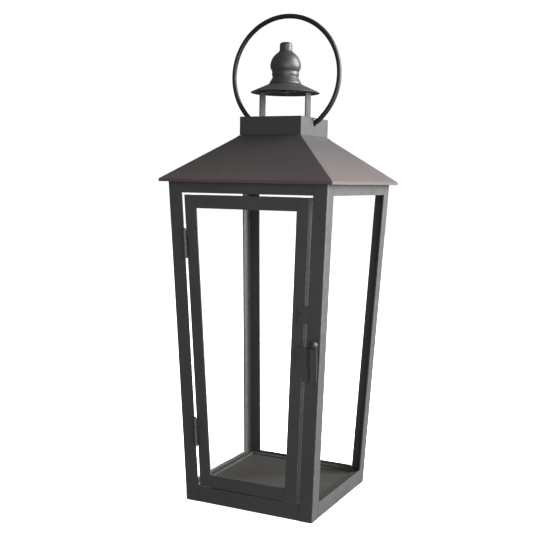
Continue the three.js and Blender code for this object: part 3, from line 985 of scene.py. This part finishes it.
@dataclass
class RingHandle:
    """A steel wire bent to a ring, with both ends turned in through the collar. Millimetres."""

    wire: float = 3.0
    radius: float = 72.5
    arc_end: float = 53.0
    end: float = 35.5
    bend: float = 14.0
    facets: int = 20
    arc_steps: int = 56
    bend_steps: int = 12
    end_rounding: float = 0.6

    def build(self) -> None:
        """Builds and dresses the ring: half of it swept from the top down, then mirrored."""
        low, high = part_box("ring_handle")
        pivot = low.z / MM + self.wire
        centre = high.z / MM - self.wire - self.radius
        fall = math.acos(self.arc_end / self.radius)
        turn = math.pi / 2 - fall
        top = Matrix.Translation((0, 0, (centre + self.radius) * MM))
        solid = bmesh.new()
        made = bmesh.ops.create_circle(
            solid,
            segments=self.facets,
            radius=self.wire * MM,
            cap_ends=False,
            matrix=top @ Matrix.Rotation(math.pi / 2, 4, "Y"),
        )
        loop = made["verts"] + list({e for v in made["verts"] for e in v.link_edges})
        loop = self._swung(solid, loop, Vector((0, 0, centre)), math.pi / 2 + fall, self.arc_steps)
        start = Vector((self.arc_end, 0, centre - self.radius * math.sin(fall)))
        along = Vector((-math.sin(fall), 0, -math.cos(fall)))
        reach = (start.z - pivot) / math.cos(fall) - self.bend * math.tan(turn / 2)
        loop = self._pushed(solid, loop, along * reach)
        # The bend's middle lies on the side towards the axis, so the wire turns level there.
        knee = start + along * reach + Vector((-along.z, 0, along.x)) * -self.bend
        loop = self._swung(solid, loop, knee, turn, self.bend_steps)
        here = max(v.co.x for v in loop if isinstance(v, bmesh.types.BMVert)) / MM
        loop = self._pushed(solid, loop, Vector((self.end - here, 0, 0)))
        solid.faces.new(self._round(loop))
        bmesh.ops.recalc_face_normals(solid, faces=solid.faces[:])
        softened(solid, self.end_rounding, FOLD_FACETS, sharp_edges(solid, WIRE_ANGLE))
        bmesh.ops.mirror(
            solid,
            geom=solid.verts[:] + solid.edges[:] + solid.faces[:],
            axis="X",
            merge_dist=CAD_DISTANCE,
        )
        finished(sealed(solid), "bent_wire_ring", HANDLE_COAT, Body.RING, ["ring_handle"])

    @staticmethod
    def _round(loop: Sequence[object]) -> list[bmesh.types.BMVert]:
        """Puts a loop's vertices in order.

        Args:
            loop: the loop's vertices and edges, in any order.

        Returns:
            The vertices in order round it.
        """
        edges = [item for item in loop if isinstance(item, bmesh.types.BMEdge)]
        line = [edges[0].verts[0]]
        rest = set(edges)
        while rest:
            edge = next(e for e in rest if line[-1] in e.verts)
            rest.discard(edge)
            line.append(edge.other_vert(line[-1]))
        return line[:-1]

    @staticmethod
    def _swung(
        solid: Solid, loop: Sequence[object], centre: Vector, angle: float, steps: int
    ) -> list[object]:
        """Sweeps the open end of the wire round a centre, in the upright plane.

        Args:
            solid: the wire so far.
            loop: its open end.
            centre: the centre of the sweep, in millimetres.
            angle: how far it turns, in radians.
            steps: how many lengths the sweep has.

        Returns:
            The new open end.
        """
        made = bmesh.ops.spin(
            solid,
            geom=list(loop),
            cent=centre * MM,
            axis=(0, 1, 0),
            angle=angle,
            steps=steps,
        )
        return list(made["geom_last"])

    @staticmethod
    def _pushed(solid: Solid, loop: Sequence[object], step: Vector) -> list[object]:
        """Extrudes the open end of the wire in a straight line.

        Args:
            solid: the wire so far.
            loop: its open end.
            step: how far, and which way, in millimetres.

        Returns:
            The new open end.
        """
        edges = [item for item in loop if isinstance(item, bmesh.types.BMEdge)]
        made = bmesh.ops.extrude_edge_only(solid, edges=edges)
        verts = [item for item in made["geom"] if isinstance(item, bmesh.types.BMVert)]
        bmesh.ops.translate(solid, verts=verts, vec=step * MM)
        known = set(verts)
        ends = [
            item
            for item in made["geom"]
            if isinstance(item, bmesh.types.BMEdge) and known.issuperset(item.verts)
        ]
        return verts + ends


# ---- Door --------------------------------------------------------------------------------------------


@dataclass
class Door:
    """The door's frame of angle iron. Millimetres."""

    member: float = 16.0
    depth: float = 12.0
    edge: float = 21.2
    gap: float = 0.3
    sheet: float = 2.0

    def build(self) -> None:
        """Builds and dresses the stiles and rails."""
        low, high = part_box("door_stile_hinge_side")
        bottom = low.z / MM
        top = high.z / MM
        stile = AngleIron(self.member, self.depth, self.sheet, inset=self.edge)
        for side, name in ((-1, "door_stile_hinge_side"), (1, "door_stile_latch_side")):
            solid = stile.upright(bottom, top, side, -1)
            finished(solid, name + "_iron", FRAME_COAT, Body.DOOR, [name])
        inset = self.edge + self.member + self.gap
        low_edge = bottom + self.member
        high_edge = top - self.member
        rails = {
            "door_rail_bottom": FlatRail(
                bottom, low_edge, bottom, bottom + self.sheet, self.depth, inset
            ),
            "door_rail_top": FlatRail(high_edge, top, top - self.sheet, top, self.depth, inset),
        }
        for name, rail in rails.items():
            finished(rail.solid(), name + "_iron", FRAME_COAT, Body.DOOR, [name])


@dataclass
class Ironmongery:
    """Hinges, turn bar and tabs: small pressed pieces with their rivets and pins. Millimetres."""

    cut: float = 0.18
    rivet_steps: int = 32
    dome_steps: int = 8

    def build(self) -> None:
        """Builds and dresses each small piece."""
        for level in ("upper", "lower"):
            self._pressed(level + "_hinge_post_leaf", Body.LANTERN, FRAME_COAT)
            self._pressed(level + "_hinge_door_leaf", Body.DOOR, FRAME_COAT)
            self._pressed(level + "_hinge_pin", Body.LANTERN, FASTENER_COAT)
        self._pressed("turn_bar", Body.TURN_BAR, FRAME_COAT)
        self._pressed("turn_bar_spacer", Body.LANTERN, FASTENER_COAT)
        for tab in ("door_stop_tab", "door_pull_tab"):
            self._pressed(tab, Body.DOOR, FRAME_COAT)
            self._rivet(tab + "_rivet", Body.DOOR, True)
        self._rivet("turn_bar_rivet", Body.LANTERN, True)
        self._rivet("bracket_rivet_left", Body.LANTERN, False)
        self._rivet("bracket_rivet_right", Body.LANTERN, False)

    def _pressed(self, node: str, body: Body, coat: PowderCoat) -> None:
        """Builds a small pressed piece with rounded edges.

        Args:
            node: the CAD node that it stands for.
            body: the body it moves with.
            coat: its finish.
        """
        solid = cad_copy(node)
        softened(solid, self.cut, CUT_FACETS, sharp_edges(solid, CUT_ANGLE))
        finished(solid, node + "_pressed", coat, body, [node])

    def _rivet(self, node: str, body: Body, on_face: bool) -> None:
        """Spins a rivet with a smooth domed head.

        Args:
            node: the CAD rivet that it stands for.
            body: the body it moves with.
            on_face: True if it goes through the leaning front face, False if it stands upright.
        """
        size = RIVETS[node]
        dome = [
            (size.head * math.cos(a), size.top + size.side + size.rise * math.sin(a))
            for a in (math.pi / 2 * k / self.dome_steps for k in range(self.dome_steps))
        ]
        # Radius and height of each point, from the set tail up the shank to the dome.
        profile = [
            (0.0, size.low - size.tail_height),
            (size.tail * TAIL_FLAT_SHARE, size.low - size.tail_height),
            (size.tail, size.low - size.tail_height * TAIL_SIDE_SHARE),
            (size.tail, size.low),
            (size.shank, size.low),
            (size.shank, size.top),
            *([(size.head, size.top)] if size.side else []),
            *dome,
            (0.0, size.top + size.side + size.rise),
        ]
        solid = turned(profile, self.rivet_steps)
        low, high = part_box(node)
        middle = (low + high) / 2
        if on_face:
            height = size.height
            tilt = Matrix.Rotation(math.pi / 2 + math.atan(TAPER.lean), 4, "X")
            place = Matrix.Translation((middle.x, -TAPER.half_at(height) * MM, height * MM)) @ tilt
        else:
            place = Matrix.Translation((middle.x, middle.y, 0.0))
        bmesh.ops.transform(solid, matrix=place, verts=solid.verts[:])
        finished(solid, node + "_domed", FASTENER_COAT, body, [node])


# The rise of a rivet's dome and the radius of its set tail, as shares of its head's radius.
DOME_SHARE = 0.55
TAIL_SHARE = 0.75

# The flat end of the set tail as a share of its radius, and its straight side as one of its height.
TAIL_FLAT_SHARE = 0.8
TAIL_SIDE_SHARE = 0.6


@dataclass(frozen=True)
class RivetSize:
    """A rivet's radii, and its heights along its own axis. Millimetres."""

    shank: float
    head: float
    low: float
    top: float
    height: float = 0.0
    side: float = 0.0
    tail_height: float = 0.8

    @property
    def rise(self) -> float:
        """Height of the dome."""
        return self.head * DOME_SHARE

    @property
    def tail(self) -> float:
        """Radius of the tail."""
        return self.head * TAIL_SHARE


RIVETS = {
    "turn_bar_rivet": RivetSize(shank=1.8, head=4.4, low=-2.3, top=5.5, height=216.8, side=1.2),
    "door_stop_tab_rivet": RivetSize(shank=1.2, head=2.0, low=-2.3, top=2.6, height=250.5),
    "door_pull_tab_rivet": RivetSize(shank=1.2, head=2.0, low=-2.3, top=2.6, height=200.75),
    "bracket_rivet_left": RivetSize(shank=1.6, head=2.6, low=456.9, top=462.0),
    "bracket_rivet_right": RivetSize(shank=1.6, head=2.6, low=456.9, top=462.0),
}


# ---- Studio ------------------------------------------------------------------------------------------


@dataclass
class Studio:
    """A pale floor, soft light and the camera. Metres and watts."""

    eye: tuple[float, float, float] = (0.4936, -1.0386, 0.4031)
    target: tuple[float, float, float] = (-0.0136, -0.0067, 0.2894)
    roll_degrees: float = 0.99
    lens_mm: float = 60.24
    sensor_mm: float = 36.0
    key_place: tuple[float, float, float] = (2.22, 0.86, 1.26)
    key_size: tuple[float, float] = (1.7, 2.2)
    key_watts: float = 385.0
    fill_place: tuple[float, float, float] = (0.95, -1.0, 0.32)
    fill_size: tuple[float, float] = (1.2, 1.2)
    fill_watts: float = 26.0
    middle: tuple[float, float, float] = (0.0, 0.0, 0.28)
    sky: float = 0.33
    white: float = 1.05
    floor_half: float = 6.0
    floor_drop: float = 0.0002  # keeps the paper clear of the lantern's foot
    paper_roughness: float = 0.9

    def build(self) -> None:
        """Sets up the camera, the floor, the lights and the sky."""
        self._camera()
        self._floor()
        self._sky()
        self._panel("key light", self.key_place, self.key_size, self.key_watts)
        self._panel("fill light", self.fill_place, self.fill_size, self.fill_watts)
        bpy.context.scene.view_settings.view_transform = "Standard"

    def _camera(self) -> None:
        """Places the camera."""
        data = bpy.data.cameras.new("camera")
        data.lens = self.lens_mm
        data.sensor_width = self.sensor_mm
        camera = bpy.data.objects.new("camera", data)
        bpy.context.scene.collection.objects.link(camera)
        roll = Matrix.Rotation(math.radians(self.roll_degrees), 4, "Z")
        camera.matrix_world = self._aimed(self.eye, self.target) @ roll
        bpy.context.scene.camera = camera

    def _floor(self) -> None:
        """Lays a plain white floor that glows evenly, as a lightbox does, and shows no shadow."""
        solid = bmesh.new()
        bmesh.ops.create_grid(solid, x_segments=1, y_segments=1, size=self.floor_half)
        mesh = bpy.data.meshes.new("studio_floor")
        solid.to_mesh(mesh)
        solid.free()
        floor = bpy.data.objects.new("studio_floor", mesh)
        floor.location.z = -self.floor_drop
        bpy.context.scene.collection.objects.link(floor)
        paper = bpy.data.materials.new("white backdrop paper")
        paper.use_nodes = True
        skin = paper.node_tree.nodes["Principled BSDF"]
        skin.inputs["Base Color"].default_value = linear("#f4f4f4")
        skin.inputs["Roughness"].default_value = self.paper_roughness
        skin.inputs["Emission Color"].default_value = linear("#ffffff")
        skin.inputs["Emission Strength"].default_value = self.white
        floor.visible_diffuse = False
        floor.visible_glossy = False
        mesh.materials.append(paper)

    def _sky(self) -> None:
        """Fills the room with soft white light, seen as a white backdrop."""
        world = bpy.data.worlds.new("white studio")
        world.use_nodes = True
        tree = world.node_tree
        tree.nodes.clear()
        seen = out(add_node(tree, "ShaderNodeLightPath"), "Is Camera Ray")
        strength = add_node(
            tree, "ShaderNodeMapRange", {"To Min": self.sky, "To Max": self.white}, {"Value": seen}
        )
        glow = add_node(
            tree,
            "ShaderNodeBackground",
            {"Color": (1.0, 1.0, 1.0, 1.0)},
            {"Strength": out(strength, "Result")},
        )
        add_node(tree, "ShaderNodeOutputWorld", None, {"Surface": out(glow, "Background")})
        bpy.context.scene.world = world

    def _panel(
        self, name: str, place: tuple[float, float, float], size: tuple[float, float], watts: float
    ) -> None:
        """Hangs a soft light panel that faces the middle of the lantern.

        Args:
            name: the light's name.
            place: its middle.
            size: its width and height.
            watts: its power.
        """
        data = bpy.data.lights.new(name, "AREA")
        data.shape = "RECTANGLE"
        data.size, data.size_y = size
        data.energy = watts
        panel = bpy.data.objects.new(name, data)
        panel.matrix_world = self._aimed(place, self.middle)
        bpy.context.scene.collection.objects.link(panel)

    @staticmethod
    def _aimed(place: tuple[float, float, float], aim: tuple[float, float, float]) -> Matrix:
        """Returns the matrix that stands at a place and looks at a point."""
        look = (Vector(aim) - Vector(place)).to_track_quat("-Z", "Y")
        return Matrix.Translation(place) @ look.to_matrix().to_4x4()


def main() -> None:
    """Builds the lantern and its studio."""
    logging.basicConfig(level=logging.INFO, format="%(name)s: %(message)s")
    Studio().build()
    parts = (
        BodyFrame(),
        FloorPan(),
        RoofAndVent(),
        TurnedFinial(),
        RingHandle(),
        Door(),
        Ironmongery(),
    )
    for part in parts:
        LOG.info("building %s", type(part).__name__)
        part.build()


if __name__ == "__main__":
    main()
